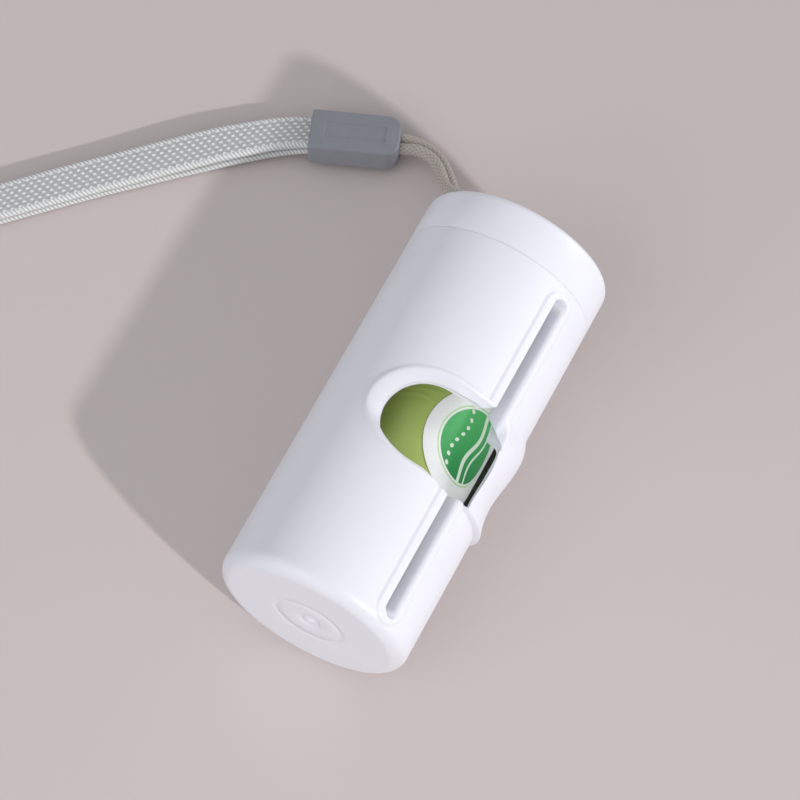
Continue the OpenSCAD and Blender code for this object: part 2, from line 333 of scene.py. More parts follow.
def smooth_line(points, step):
    """Points a step apart along a smooth curve through the given ones."""
    p = np.array(points, float)
    p = np.vstack([2 * p[0] - p[1], p, 2 * p[-1] - p[-2]])
    between = np.linspace(0, 1, 24, endpoint=False)
    dense = []
    for i in range(1, len(p) - 2):
        for t in between:
            a, b, c, d = p[i - 1], p[i], p[i + 1], p[i + 2]
            dense.append(0.5 * (2 * b + (c - a) * t + (2 * a - 5 * b + 4 * c - d) * t * t
                                + (3 * b - a - 3 * c + d) * t ** 3))
    dense.append(p[-2])
    dense = np.array(dense)
    along = distances(dense[:, :3])
    at = np.linspace(0, along[-1], max(2, round(along[-1] / step) + 1))
    return np.stack([np.interp(at, along, dense[:, k]) for k in range(p.shape[1])], 1), at


def unit(v):
    return v / np.linalg.norm(v, axis=-1, keepdims=True)


def computed_piece(name, points, faces):
    """A piece with a computed mesh, from points in mm."""
    mesh = bpy.data.meshes.new(name)
    mesh.from_pydata((np.reshape(points, (-1, 3)) * MM).tolist(), [], faces)
    piece = bpy.data.objects.new(name, mesh)
    scene.collection.objects.link(piece)
    return piece


def skin_mesh(name, rings, closed_ends=True, uv=None):
    """A mesh through rings of as many points each; uv gives each point's place in the weave."""
    count, sides = rings.shape[:2]
    faces = []
    for i in range(count - 1):
        for j in range(sides):
            k = (j + 1) % sides
            faces.append((i * sides + j, i * sides + k, (i + 1) * sides + k, (i + 1) * sides + j))
    if closed_ends:
        faces.append(tuple(range(sides - 1, -1, -1)))
        faces.append(tuple(range((count - 1) * sides, count * sides)))
    piece = computed_piece(name, rings, faces)
    mesh = piece.data
    if uv is not None:
        layer = mesh.uv_layers.new(name="weave")
        u, v = uv
        corners = [
            ((u[j], v[i]), (u[j + 1], v[i]), (u[j + 1], v[i + 1]), (u[j], v[i + 1]))
            for i in range(count - 1) for j in range(sides)
        ]
        corner = np.zeros((len(mesh.loops), 2))
        corner[:4 * len(corners)] = np.reshape(corners, (-1, 2))
        layer.data.foreach_set("uv", corner.ravel())
    mesh.shade_smooth()
    return piece


cord_thick = 2.5
cord_route = np.array([
    [-0.6, 40.2, 20], [-0.6, 43, 20], [-0.6, 45.8, 20], [-1.4, 48.4, 19.9], [-3.8, 50.7, 19.1],
    [-7.4, 52.2, 17.6], [-11.4, 53.2, 15.4], [-15.4, 54.2, 12.6], [-19, 55.4, 9.8],
    [-22, 57.4, 7.2], [-24.3, 60, 5.4], [-26.7, 62.6, 4.3], [-29.6, 64.5, 3.8],
    [-33.3, 65, 3.8], [-37.2, 63.9, 3.8], [-39.9, 62.8, 3.8],
])
strand_lean = np.array([
    [0, 0, 1.3], [0, 0, 1.3], [0, 0, 1.3], [-0.1, 0, 1.3], [-0.4, 0.2, 1.2],
    [-0.6, 0.2, 1.2], [-0.7, 0, 1.1], [-0.7, 0, 1.1], [-0.7, -0.2, 1.1],
    [-0.9, -0.3, 0.9], [-0.9, -0.3, 0.9], [-0.7, -0.5, 0.9], [-0.4, -0.9, 0.8],
    [0.1, -1.1, 0.6], [0.5, -1.2, 0.2], [0.5, -1.2, 0.2],
])
braid_cells = 8
braid_rise = 1.35
braid_relief = 0.11
cord_sides = 48
cord_step = 0.16

cord_finish = Finish(
    "braided_cord", (0.36, 0.33, 0.31), 0.62, Sheen_Weight=0.25, Sheen_Roughness=0.4,
)
weave = cord_finish.uv("weave")
across, along, _ = cord_finish.split(weave)
one_way = (across * braid_cells + along / braid_rise) * math.pi
other_way = (across * braid_cells - along / braid_rise) * math.pi
ridge_a = one_way.math("SINE").math("ABSOLUTE")
ridge_b = other_way.math("SINE").math("ABSOLUTE")
over = one_way.math("SINE") * other_way.math("SINE") * 0.5 + 0.5
height = ridge_a * over + ridge_b * (1 - over)
threads = cord_finish.noise(weave, 9.0, 3.0, 0.7)
# The valleys between the braid's carriers are painted dark and its ridges light, as painted shade,
# mixed with the threads' random tone.
shade = (height ** 0.7) * 0.75 + threads * 0.4
cord_finish.put(
    Base_Color=cord_finish.mix(shade, (0.145, 0.122, 0.104, 1), (0.56, 0.505, 0.455, 1)),
    Normal=cord_finish.bump(threads, 0.00006, 0.6),
)


def braid(name, line, at):
    """A braided tube along a line: its carriers cross in two directions, over and under."""
    ahead = unit(np.gradient(line, axis=0))
    side = unit(np.cross(ahead, [0, 0, 1]))
    rise = np.cross(side, ahead)
    turn = np.linspace(0, 2 * math.pi, cord_sides, endpoint=False)
    share = turn / (2 * math.pi)
    a = math.pi * (braid_cells * share[None, :] + at[:, None] / braid_rise)
    b = math.pi * (braid_cells * share[None, :] - at[:, None] / braid_rise)
    over_a = 0.5 + 0.5 * np.sin(a) * np.sin(b)
    ridge = np.abs(np.sin(a)) * over_a + np.abs(np.sin(b)) * (1 - over_a)
    radius = cord_thick / 2 - braid_relief * (1 - ridge)
    spoke = (np.cos(turn)[None, :, None] * side[:, None, :]
             + np.sin(turn)[None, :, None] * rise[:, None, :])
    rings = line[:, None, :] + spoke * radius[:, :, None]
    return skin_mesh(name, rings, uv=(np.linspace(0, 1, cord_sides + 1), at))


strands = []
for name, way in (("cord_strand_near", 1), ("cord_strand_far", -1)):
    line, at = smooth_line(cord_route + way * strand_lean, cord_step)
    strand = braid(name, line, at)
    strand.data.materials.append(cord_finish.material)
    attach(strand, "lanyard")
    strands.append((strand, line, at[-1]))
for strand, line, length in strands:
    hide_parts("cord_loop")


# ---- Knot: both ends of the cord tied into one tight stopper knot, just behind the cap's top
knot_mid = np.array([-0.6, 39.5, 20.0])
knot_wide = 0.8
t = np.linspace(0, 2 * math.pi, 241)
knot_line = knot_mid + knot_wide * np.stack([
    np.sin(t) + 2 * np.sin(2 * t), -1.15 * np.sin(3 * t), np.cos(t) - 2 * np.cos(2 * t),
], 1)
knot = braid("stopper_knot", knot_line, distances(knot_line))
knot.data.materials.append(cord_finish.material)
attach(knot, "lanyard")
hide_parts("cord_knot")


# ---- Wrist strap: flat polyester webbing, 8 mm wide and 1.5 mm thick, silver grey
# One length of webbing runs out from the connector, folds, and comes back on top of itself.
strap_wide, strap_thick = 8.0, 1.5
strap_tilt, strap_flat_from = 10.0, 6
strap_route = np.array([
    [-52.1, 58.2, 3.8, 0.9], [-54.9, 57.1, 3.8, 0.9], [-58.5, 55.4, 3.4, 1.0],
    [-62.3, 53, 3.1, 1.1], [-66.3, 50, 2.8, 1.2], [-70.4, 46.7, 2.6, 1.3],
    [-74.5, 43.1, 2.4, 1.3], [-78.6, 39.4, 2.3, 1.2], [-82.7, 35.6, 2.2, 1.1],
    [-86.9, 31.7, 2.1, 1.0], [-91.2, 27.7, 2, 1], [-97, 22, 2, 1], [-103, 16, 2, 1],
    [-110, 9, 2, 1], [-117, 1.6, 2, 1], [-123.6, -6, 2, 1], [-129.8, -14, 2, 1],
    [-135.4, -22.4, 2, 1], [-140.2, -31, 2.2, 1.2], [-144, -40, 2.6, 1.6], [-146, -46, 3, 2],
])
strap_step, strap_in_pocket = 0.3, 4.0
dash_gap, dash_rows = 1.7, 7
dash_wide, dash_long, dash_shift = 0.3, 0.24, 0.38
edge_wide, edge_fade = 0.5, 0.3
twist_pitch, twist_slant = 0.85, 0.7
weft_pitch, warp_pitch = 0.43, 0.5
weave_relief, weave_floor = 0.13, 0.05
past_first = np.clip(np.arange(len(strap_route)) - 1, 0, None)
tilts = strap_tilt * np.clip(1 - past_first / (strap_flat_from - 1), 0, 1)
mid, _ = smooth_line(np.column_stack([strap_route, tilts]), strap_step)
ahead = np.gradient(mid[:, :3], axis=0)
ahead[:, 2] = 0
ahead = unit(ahead)
flat_side = np.stack([-ahead[:, 1], ahead[:, 0], 0 * ahead[:, 0]], 1)
lean = np.radians(mid[:, 4:5])
side = flat_side * np.cos(lean) + np.array([0, 0, 1]) * np.sin(lean)
rise = np.cross(ahead, side)
apart = mid[:, 3:4]

low_line = mid[:, :3] - rise * apart
high_line = mid[:, :3] + rise * apart
fold_turns = np.radians(np.arange(-80, 81, 10))
fold_out = [ahead[-1] * math.cos(a) + rise[-1] * math.sin(a) for a in fold_turns]
fold = [mid[-1, :3] + apart[-1] * way for way in fold_out]
lead_in = low_line[0] - ahead[0] * np.arange(strap_in_pocket, 0, -strap_step)[:, None]
line = np.vstack([lead_in, low_line, fold, high_line[::-1]])
out = np.vstack([np.repeat(-rise[:1], len(lead_in), 0), -rise, fold_out, rise[::-1]])
sides = np.vstack([
    np.repeat(side[:1], len(lead_in), 0), side, np.repeat(side[-1:], len(fold), 0), side[::-1],
])
at = distances(line)

top_columns, edge_columns, under_columns = 44, 5, 10
strap_round = strap_thick / 2
flat_half = strap_wide / 2 - strap_round
edge_turn = np.radians(np.linspace(90, -90, edge_columns + 2)[1:-1])
edge_u, edge_v = flat_half + strap_round * np.cos(edge_turn), strap_round * np.sin(edge_turn)
section = [(u, strap_round) for u in np.linspace(flat_half, -flat_half, top_columns)]
section += list(zip(-edge_u, edge_v))
section += [(u, -strap_round) for u in np.linspace(-flat_half, flat_half, under_columns)]
section += list(zip(edge_u[::-1], edge_v[::-1]))
section = np.array(section)
section_u = distances(np.vstack([section, section[:1]]))


def weave_height(u, v):
    """Relief of the outer face: rows of short floats, and slanting twists at both edges."""
    row = (u + flat_half) / (2 * flat_half) * dash_rows
    number = np.floor(row)
    across_row = row - number - 0.5
    along_row = (v / dash_gap + dash_shift * number) % 1.0 - 0.5
    dash = np.exp(-(across_row / dash_wide) ** 2 - (along_row / dash_long) ** 4)
    weft, warp = np.cos(2 * math.pi * v / weft_pitch), np.cos(2 * math.pi * u / warp_pitch)
    ground = 0.25 + 0.25 * weft * warp
    edge = np.clip((np.abs(u) - flat_half + edge_wide) / edge_fade, 0, 1)
    beyond = np.abs(u) - flat_half
    twist = np.abs(np.sin(math.pi * (v / twist_pitch + beyond * twist_slant)))
    return (1 - edge) * (ground * (1 - dash) + dash) + edge * twist


on_outer = np.arange(len(section)) < top_columns
on_edge = np.abs(section[:, 0]) > flat_half + 0.01
relief = weave_relief * weave_height(section[None, :, 0], at[:, None])
relief = relief * (on_outer | on_edge)[None, :] - weave_floor
outward = unit(np.column_stack([
    np.sign(section[:, 0]) * np.clip(np.abs(section[:, 0]) - flat_half, 0, None), section[:, 1],
]))
reach = section[None, :, :] + relief[:, :, None] * outward[None, :, :]
rings = line[:, None, :] + sides[:, None, :] * reach[:, :, :1]
rings = rings + out[:, None, :] * reach[:, :, 1:]
strap = skin_mesh("wrist_strap_webbing", rings, uv=(section_u, at))

strap_finish = Finish(
    "silver_webbing", (0.5, 0.5, 0.5), 0.5, Sheen_Weight=0.2, Sheen_Roughness=0.4,
)
weave = strap_finish.uv("weave")
u, v, _ = strap_finish.split(weave)
row = u * (dash_rows / (2 * flat_half))
number = row.math("FLOOR")
across_row = (row - number - 0.5) / dash_wide
along_row = ((v / dash_gap + number * dash_shift).math("FRACT") - 0.5) / dash_long
dash = (across_row ** 2.0 + along_row ** 4.0) * -1.4
dash = dash.math("EXPONENT") * u.math("LESS_THAN", 2 * flat_half)
beyond = (u - flat_half).math("ABSOLUTE") - flat_half
is_edge = ((beyond + edge_wide) / edge_fade).math("MAXIMUM", 0.0).math("MINIMUM", 1.0)
twist = ((v / twist_pitch + beyond * twist_slant) * math.pi).math("SINE").math("ABSOLUTE") ** 1.5
fine = strap_finish.noise(weave, 2.4, 4.0, 0.75)
# The raised floats and the twists at the edges are painted near white: a painted highlight on the
# weave's raised parts.
painted_float_highlight = dash * (1 - is_edge) + is_edge * twist * 0.75
ground_shade = strap_finish.mix(fine, (0.22, 0.225, 0.225, 1), (0.66, 0.665, 0.66, 1))
strap_finish.put(
    Base_Color=strap_finish.mix(painted_float_highlight, ground_shade, (0.93, 0.93, 0.92, 1)),
    Normal=strap_finish.bump(fine, 0.00008, 0.7),
)
strap.data.materials.append(strap_finish.material)
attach(strap, "lanyard")
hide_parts("wrist_strap")


# ---- Canister: one moulding of white satin plastic, round, with a closed end and a threaded neck
# A tear slot runs along it into the thumb window. The wall curls inwards at the slot's right side,
# and flares out as a lip past the window; a soft bead and a dished border go round both openings.
body_r = 20.0
bore_r = 17.5
canister_h = 80.7
total_h = 90.4
axis_x = -0.6
floor_t = 1.8
end_round = 2.85
arc_mm = body_r * math.pi / 180

slot_left, slot_right, slot_low, slot_high = 45.5, 57.0, 3.4, 78.0
tip_column = 46.0
curl_start, curl_long, curl_steep, curl_bend, curl_tip_turn = 57.8, 4.5, 72.0, 0.38, 55.6
curl_steps = 80
curl_arc_mm = 0.92 * arc_mm
curl_cut_turn, curl_cut_y, curl_cut_slope = 47, 49.4, 0.31
slot_half = (slot_right - slot_left) / 2 * arc_mm
slit_inset, slit_fade = 0.7, 1.5
bead_left, bead_right, bead_low, bead_high, bead_rise = 39.3, 60.0, 1.7, 79.4, 0.3
bead_foot, bead_run = 0.3, 0.95
groove_deep, groove_off, groove_wide = 0.1, 0.12, 0.3
window_mid, window_turn, window_reach, window_up, window_down = 40.4, 18.0, 31.5, 8.1, 8.75
border_mid, border_turn, border_reach, border_up, border_down = 41.2, 20.0, 44.9, 10.25, 10.0
dish_depth, dish_crest, dish_crest_at_corner = 1.9, 0.5, 0.45
end_wall_foot, end_wall_foot_slope, end_wall_slope = 0.12, 3.6, 12
lip_edge, lip_foot, lip_top, lip_fall = 61.5, 31.2, 51, 5.1
lip_side, lip_corner_r = 61.2, 1.5
saddle_y, saddle_rise, low_hump_rise, high_hump_rise = 38.3, 0.1, 1.05, 1.1
flare_rise, flare_rise_low = 1.5, 0.8
seam_round = 0.06
just_past = 0.1
off_limits = 9

# The curl's section: from its crest it bends over and runs inwards, nearly straight down
curl_path = np.linspace(0, 1, curl_steps + 1)
curl_bent = np.clip((curl_path[1:] + curl_path[:-1]) / 2 / curl_bend, 0, 1)
curl_lean = np.radians(curl_steep) * curl_bent
curl_across = np.concatenate([[0], np.cumsum(np.cos(curl_lean))]) * curl_long / curl_steps
curl_drop = np.concatenate([[0], np.cumsum(np.sin(curl_lean))]) * curl_long / curl_steps


def ease(x):
    x = np.clip(x, 0, 1)
    return x * x * (3 - 2 * x)


def curl_share(u):
    """How far along the curl's section a column lies, 0 at its crest and 1 at its tip."""
    return np.clip((curl_start - u) / (curl_start - tip_column), 0, 1)


def stadium(theta, y, left, right, low, high):
    """Distance in mm from a round-ended strip along the canister, less than 0 inside it."""
    half = (right - left) / 2 * arc_mm
    dx = (theta - (left + right) / 2) * arc_mm
    dy = y - np.clip(y, low + half, high - half)
    return np.hypot(dx, dy) - half


def inside_oval(theta, y, turn, reach, half):
    """Distance in mm inside an outline with a half oval at its left end and straight sides."""
    dx = np.minimum(theta - turn, 0) * arc_mm
    wide = reach * arc_mm
    ring = np.maximum(np.hypot(dx / wide, y / half), 1e-6)
    steepness = np.hypot(dx / wide ** 2, y / half ** 2) / ring
    return (1 - ring) / np.maximum(steepness, 1e-6)


def in_window(theta, y):
    """Distance inside the window: its lower edge runs out at the slot, its upper corner is cut."""
    run_out = 1.2 * (np.clip(theta - 24, 0, None) / 22) ** 1.5
    widening = 0.5 * ease((theta - 20) / 18)
    cut_corner = 1.75 * np.clip((theta - 39.6) / 5.9, 0, 1) ** 1.15
    half = np.where(y > window_mid, window_up + widening + cut_corner, window_down + run_out)
    return inside_oval(theta, y - window_mid, window_turn, window_reach, half)


def in_border(theta, y):
    half = np.where(y > border_mid, border_up, border_down)
    return inside_oval(theta, y - border_mid, border_turn, border_reach, half)


def in_slit(y):
    """1 where the slot is open to the inside, 0 past its round ends."""
    from_low = (y - slot_low - slit_inset) / slit_fade
    from_high = (slot_high - slit_inset - y) / slit_fade
    return ease(from_low) * ease(from_high)


def is_left_of_slot(u):
    return u < slot_left + just_past


def put_curl(u, y, curled):
    """Takes the curl's columns to their places, as far as the slot is open; the rest stay."""
    plain = is_left_of_slot(u) | (u > curl_start)
    return np.where(plain, u, u + (curled - u) * in_slit(y))


def turned(u, y):
    """Angle from the top of a place on the sheet: the curl's columns stand nearly in line."""
    across = np.interp(curl_share(u), curl_path, curl_across)
    return put_curl(u, y, curl_start - across / curl_arc_mm)


def turned_inside(u, y):
    return put_curl(u, y, curl_start - (curl_start - curl_tip_turn) * curl_share(u))


def hole_right(u, y):
    """Distance in mm outside the opening's right part: the curl's end, a corner, the lip's edge."""
    above = y - curl_cut_y + curl_cut_slope * (u - curl_cut_turn) + lip_corner_r
    belly = 1.9 * ease((y - 33) / 7)
    drawn_in = 4.4 * ease((y - 40.5) / 5.5)
    beyond = (u - lip_side - belly + drawn_in) * arc_mm + lip_corner_r
    rounded = np.hypot(np.clip(above, 0, None), np.clip(beyond, 0, None)) - lip_corner_r
    rounded = rounded + np.minimum(np.maximum(above, beyond), 0)
    return np.maximum(rounded, lip_foot + 0.4 - y)


def lip_height(theta, y):
    """How far the lip stands out: a saddle between two humps, with a sharp foot."""
    top = lip_top + (theta - 55) / 15
    foot = ease((y - lip_foot + 0.7) / 0.8)
    low_hump = saddle_rise + low_hump_rise * np.clip((saddle_y - y) / 6.7, 0, 1) ** 2
    high_hump = saddle_rise + high_hump_rise * ease((y - saddle_y) / (top - lip_fall - saddle_y))
    fall = 1 - np.clip((y - top + lip_fall) / lip_fall, 0, 1) ** 2.2
    far = np.maximum(low_hump, high_hump) * fall
    flare = flare_rise * np.clip((51.1 - y) / 3.9, 0, 1)
    near = np.minimum(flare, flare_rise_low + (flare_rise - flare_rise_low) * ease((y - 40) / 7))
    share = ease((theta - lip_edge) / 26)
    upper = ease((y - 42) / 3)
    start = ease((theta - 60 + 4 * upper) / (1.5 + 2 * upper))
    return foot * (near * (1 - share) + far * share) * start * ease((128 - theta) / 26)


def bead_height(u, y):
    """The soft bead round the slot and the window, with a fine groove at its foot."""
    slot_bead = -stadium(u, y, bead_left, bead_right, bead_low, bead_high)
    window_bead = np.where(u < bead_right, in_border(u, y), -off_limits)
    foot_at = np.maximum(slot_bead, window_bead)
    groove = groove_deep * np.exp(-((foot_at + groove_off) / groove_wide) ** 2)
    return bead_rise * ease((foot_at + bead_foot) / bead_run) - groove * ease((u + 12) / 30)


def border_dish(u, y):
    """The dished border of the window: it falls from its crest to the window's edge."""
    to_corner = ease((u - 4) / 18) * (y > border_mid)
    past_crest = in_border(u, y) - dish_crest - dish_crest_at_corner * to_corner
    past_crest = np.clip(past_crest, 0, None)
    to_edge = np.clip(-in_window(u, y), 0, None)
    share = past_crest / np.maximum(past_crest + to_edge, 0.3)
    depth = dish_depth * ease((y - 34.2) / 3.6) * (1 - 0.3 * to_corner)
    return depth * share ** (1.25 - 0.4 * to_corner) * is_left_of_slot(u)


def curl_dip(u, y):
    """How deep the curl lies under the round wall, up to the steep wall at the slot's ends."""
    end_wall = -stadium(turned(u, y), y, slot_left, slot_right, slot_low, slot_high)
    past_end = (y < slot_low + slot_half) | (y > slot_high - slot_half) | is_left_of_slot(u)
    foot = end_wall_foot_slope * np.clip(end_wall + end_wall_foot, 0, end_wall_foot)
    steep = foot + end_wall_slope * np.clip(end_wall, 0, off_limits)
    allowed = np.where(past_end, steep, off_limits)
    dip = np.interp(curl_share(u), curl_path, curl_drop)
    return np.minimum(dip, allowed) * (u > slot_left - just_past)


def outer_radius(u, y):
    lip = lip_height(u, y) * ~is_left_of_slot(u)
    r = body_r + bead_height(u, y) - border_dish(u, y) - curl_dip(u, y) + lip
    fall = np.clip(end_round - y, 0, end_round)
    return r - (end_round - np.sqrt(end_round ** 2 - fall ** 2))


def inner_radius(u, y):
    """The bore's wall; behind the lip it follows the outside, so that the lip is thin."""
    outer = outer_radius(u, y)
    is_curl = ~is_left_of_slot(u) & (u < curl_start)
    plain = np.minimum(bore_r, outer - np.where(is_curl, 0.25, 0.8))
    thin = ease((86 - u) / 20) * ease((u - curl_start) / 3)
    thin = thin * ease((y - 27) / 3) * ease((56 - y) / 4)
    edge = 0.45 + 0.6 * ease((u - lip_edge) / 6)
    return plain + thin * np.clip(outer - edge - plain, 0, None)


def on_canister(theta, y, r):
    a = np.radians(theta)
    return np.stack([axis_x + r * np.sin(a), y - total_h / 2, body_r + r * np.cos(a)], -1)


def spaced(stops):
    """Places between stops: each stop gives a value and the step from there on."""
    values = []
    for (start, step), (end, _) in zip(stops, stops[1:]):
        values += list(np.linspace(start, end, max(1, round((end - start) / step)), endpoint=False))
    return values + [stops[-1][0]]


edge_round = 0.28
columns = spaced([(-180, 5), (-40, 2), (-30, 1.0), (38, 0.5), (44, 0.3), (slot_left, 1)])
columns += spaced([(tip_column, 0.5), (60, 0.75), (64, 1.2), (100, 2.5), (130, 5), (180, 0)])[:-1]
columns = np.array(columns)
left_count = int(np.sum(columns <= slot_left))
rows = [end_round * (1 - math.cos(math.radians(a))) for a in (0, 12, 24, 36, 48, 60)]
rows += spaced([
    (1.7, 0.25), (7, 0.9), (26, 0.4), (30, 0.22), (33, 0.4), (36, 0.7), (44, 0.35), (50.3, 0.2),
    (52.3, 0.6), (54.4, 0.9), (73.5, 0.25), (80.0, 0.2), (canister_h - seam_round, 0),
])
rows = np.array(sorted(rows))
n_rows, n_columns = len(rows), len(columns)

uv = np.array([(u, v) for v in rows for u in columns])
column_of = np.arange(len(uv)) % n_columns
is_left = column_of < left_count


def hole(points, left):
    """Distance in mm outside the rounded edge of the opening on a place's own side of the slot."""
    return np.where(left, -in_window(*points.T), hole_right(*points.T)) - edge_round


def slope(points, left, step=0.02):
    fu, fv = (
        (hole(points + off, left) - hole(points - off, left)) / (2 * step)
        for off in ([step / arc_mm, 0], [0, step])
    )
    return fu, fv


# Points close to an opening's outline are moved onto it; the faces that it crosses are cut there
snap_share, least_slope = 0.33, 0.2
f = hole(uv, is_left)
fu, fv = slope(uv, is_left)
size = np.maximum(np.hypot(fu, fv), least_slope)
du = np.gradient(columns) * arc_mm
dv = np.gradient(rows)
cell = np.minimum(du[None, :], dv[:, None]).ravel()
near = np.abs(f) / size < snap_share * cell
by_slot = (column_of == left_count - 1) | (column_of == left_count)
too_flat = np.abs(fv) < least_slope
move_u = np.where(by_slot, 0, -f * fu / size ** 2 / arc_mm)
move_v = np.where(by_slot, -f / np.where(too_flat, 1, fv), -f * fv / size ** 2)
near &= ~(by_slot & too_flat)
uv[near] += np.stack([move_u, move_v], 1)[near]
f[near] = 0.0

points = [tuple(p) for p in uv]
cut_at = {}


def crossing(a, b):
    """The number of the point where the outline crosses an edge."""
    key = (min(a, b), max(a, b))
    if key not in cut_at:
        t = f[a] / (f[a] - f[b])
        cut_at[key] = len(points)
        points.append(tuple(uv[a] + (uv[b] - uv[a]) * t))
    return cut_at[key]


slot_bridge = 1.25
sheet_faces = []
for i in range(n_rows - 1):
    for j in range(n_columns):
        low, high = i * n_columns, (i + 1) * n_columns
        k = (j + 1) % n_columns
        corners = [low + j, low + k, high + k, high + j]
        if j == left_count - 1:
            if rows[i + 1] <= slot_low + slot_bridge or rows[i] >= slot_high - slot_bridge:
                sheet_faces.append(corners)
            continue
        kept = []
        for a, b in zip(corners, corners[1:] + corners[:1]):
            if f[a] >= 0:
                kept.append(a)
            if f[a] * f[b] < 0:
                kept.append(crossing(a, b))
        values = [f[c] for c in corners]
        if len(kept) > 2 and (max(values) > 0 or min(values) >= 0):
            sheet_faces.append(kept)

points = np.array(points)
used = sorted({c for face in sheet_faces for c in face})
renumber = {old: new for new, old in enumerate(used)}
points = points[used]
sheet_faces = [[renumber[c] for c in face] for face in sheet_faces]
outer = on_canister(turned(*points.T), points[:, 1], outer_radius(*points.T))
floor_blend = 6
inside_y = points[:, 1]
raised = floor_t + inside_y * (floor_blend - floor_t) / floor_blend
inside_y = np.where(inside_y < floor_blend, raised, inside_y)
inner = on_canister(turned_inside(*points.T), inside_y, inner_radius(*points.T))
count = len(points)
vertices = [outer, inner]
faces = [face[::-1] for face in sheet_faces] + [[c + count for c in face] for face in sheet_faces]

# The edges of the openings, with a rounded outside and inside corner
edges = dict.fromkeys((a, b) for face in sheet_faces for a, b in zip(face, face[1:] + face[:1]))
border_edges = [(a, b) for a, b in edges if (b, a) not in edges]
top_start = (n_rows - 1) * n_columns
low_row = {renumber[c] for c in range(n_columns) if c in renumber}
high_row = {renumber[c] for c in range(top_start, top_start + n_columns) if c in renumber}
wall_edges = [e for e in border_edges if not (set(e) <= low_row or set(e) <= high_row)]
wall_points = sorted({c for e in wall_edges for c in e})
through = {c: Vector(outer[c]) - Vector(inner[c]) for c in wall_points}
radial = {c: way.normalized() for c, way in through.items()}
round_in = {c: min(edge_round, way.length * 0.4) for c, way in through.items()}
push = {c: Vector() for c in wall_points}
for a, b in wall_edges:
    along = Vector(outer[b]) - Vector(outer[a])
    away = radial[a].cross(along.normalized())
    for c in (a, b):
        push[c] += away * along.length
for c in wall_points:
    push[c] = push[c].normalized()
total = 2 * count
ids = [{c: c for c in wall_points}]
round_steps = [math.radians(turn) for turn in (30, 60, 90)]
for base, way, steps in ((outer, -1, round_steps), (inner, 1, round_steps[::-1])):
    for a in steps:
        vertices.append(np.array([
            Vector(base[c]) + push[c] * edge_round * math.sin(a)
            + way * radial[c] * round_in[c] * (1 - math.cos(a)) for c in wall_points
        ]))
        ids.append({c: total + n for n, c in enumerate(wall_points)})
        total += len(wall_points)
ids.append({c: c + count for c in wall_points})
for one, two in zip(ids, ids[1:]):
    for a, b in wall_edges:
        faces.append([one[a], one[b], two[b], two[a]])


def add_ring(points_of_ring):
    """Adds a ring of points and gives their numbers."""
    global total
    vertices.append(points_of_ring)
    total += len(points_of_ring)
    return list(range(total - len(points_of_ring), total))


def join_rings(one, two):
    for j in range(len(one)):
        k = (j + 1) % len(one)
        faces.append([one[j], one[k], two[k], two[j]])


def sweep(last, profile):
    """Carries the wall on from a ring, through a profile of radii and heights, to its last ring."""
    for r, y in profile:
        ring = add_ring(on_canister(columns, np.full(n_columns, y), np.zeros(n_columns) + r))
        join_rings(last, ring)
        last = ring
    return last


def close_ring(ring, y):
    """Closes a ring with a fan of faces to a point on the axis."""
    middle = add_ring(on_canister(np.zeros(1), np.full(1, y), np.zeros(1)))[0]
    for a, b in zip(ring, ring[1:] + ring[:1]):
        faces.append([a, b, middle])


# Closed end: flat, with a fine engraved ring and a small round mark at its middle
low_ids = [renumber[j] for j in range(n_columns)]
ring_r, ring_wide, ring_deep, ring_flank = 7.0, 0.2, 0.06, 0.12
mark_high = -0.06
close_ring(sweep(low_ids, [
    (16.9, 0.0), (12, 0.0), (8.5, 0.0),
    (ring_r + ring_wide, 0.0), (ring_r + ring_flank, ring_deep * 0.8), (ring_r, ring_deep),
    (ring_r - ring_flank, ring_deep * 0.8), (ring_r - ring_wide, 0.0), (5, 0.0), (3.2, 0.0),
    (2.6, 0.1), (2.1, 0.3), (1.7, 0.42), (1.3, 0.34), (0.9, 0.1), (0.5, -0.02), (0.2, mark_high),
]), mark_high)
close_ring([c + count for c in reversed(low_ids)], floor_t)

# Shoulder, neck and thread
neck_r, neck_top = 18.4, 88.4
ridge_low, ridge_turns, ridge_pitch, ridge_r = 83.3, 1.25, 3.0, 18.95
ridge_start, ridge_run_out, ridge_half_foot, ridge_half_tip = 90, 14, 0.55, 0.25


def thread_height(theta, y):
    """From 0 to 1 across the neck's ridge, which climbs round the axis."""
    start = (theta - ridge_start) % 360
    best = np.zeros_like(y)
    for lap in range(2):
        turn = start + 360 * lap
        off = np.abs(y - ridge_low - ridge_pitch * turn / 360)
        flank = np.clip((ridge_half_foot - off) / (ridge_half_foot - ridge_half_tip), 0, 1)
        ends = ease(turn / ridge_run_out) * ease((ridge_turns * 360 - turn) / ridge_run_out)
        best = np.maximum(best, flank * ends)
    return best


high_ids = [renumber[top_start + j] for j in range(n_columns)]
last = sweep(high_ids, [
    (body_r - 0.02, canister_h - 0.02), (body_r - seam_round, canister_h),
    (neck_r + 0.15, canister_h),
])
for y in spaced([(canister_h + 0.15, 0.26), (neck_top - 0.2, 0)]):
    ridge = thread_height(columns, np.full(n_columns, y))
    last = sweep(last, [(neck_r + (ridge_r - neck_r) * ridge, y)])
last = sweep(last, [
    (neck_r - 0.2, neck_top), (bore_r + 0.15, neck_top), (bore_r, neck_top - 0.15),
])
join_rings(last, [c + count for c in high_ids])

canister = computed_piece("canister_shell", np.concatenate(vertices), faces)
mesh = canister.data
mesh.validate()
mesh.shade_smooth()
mesh.set_sharp_from_angle(angle=math.radians(50))


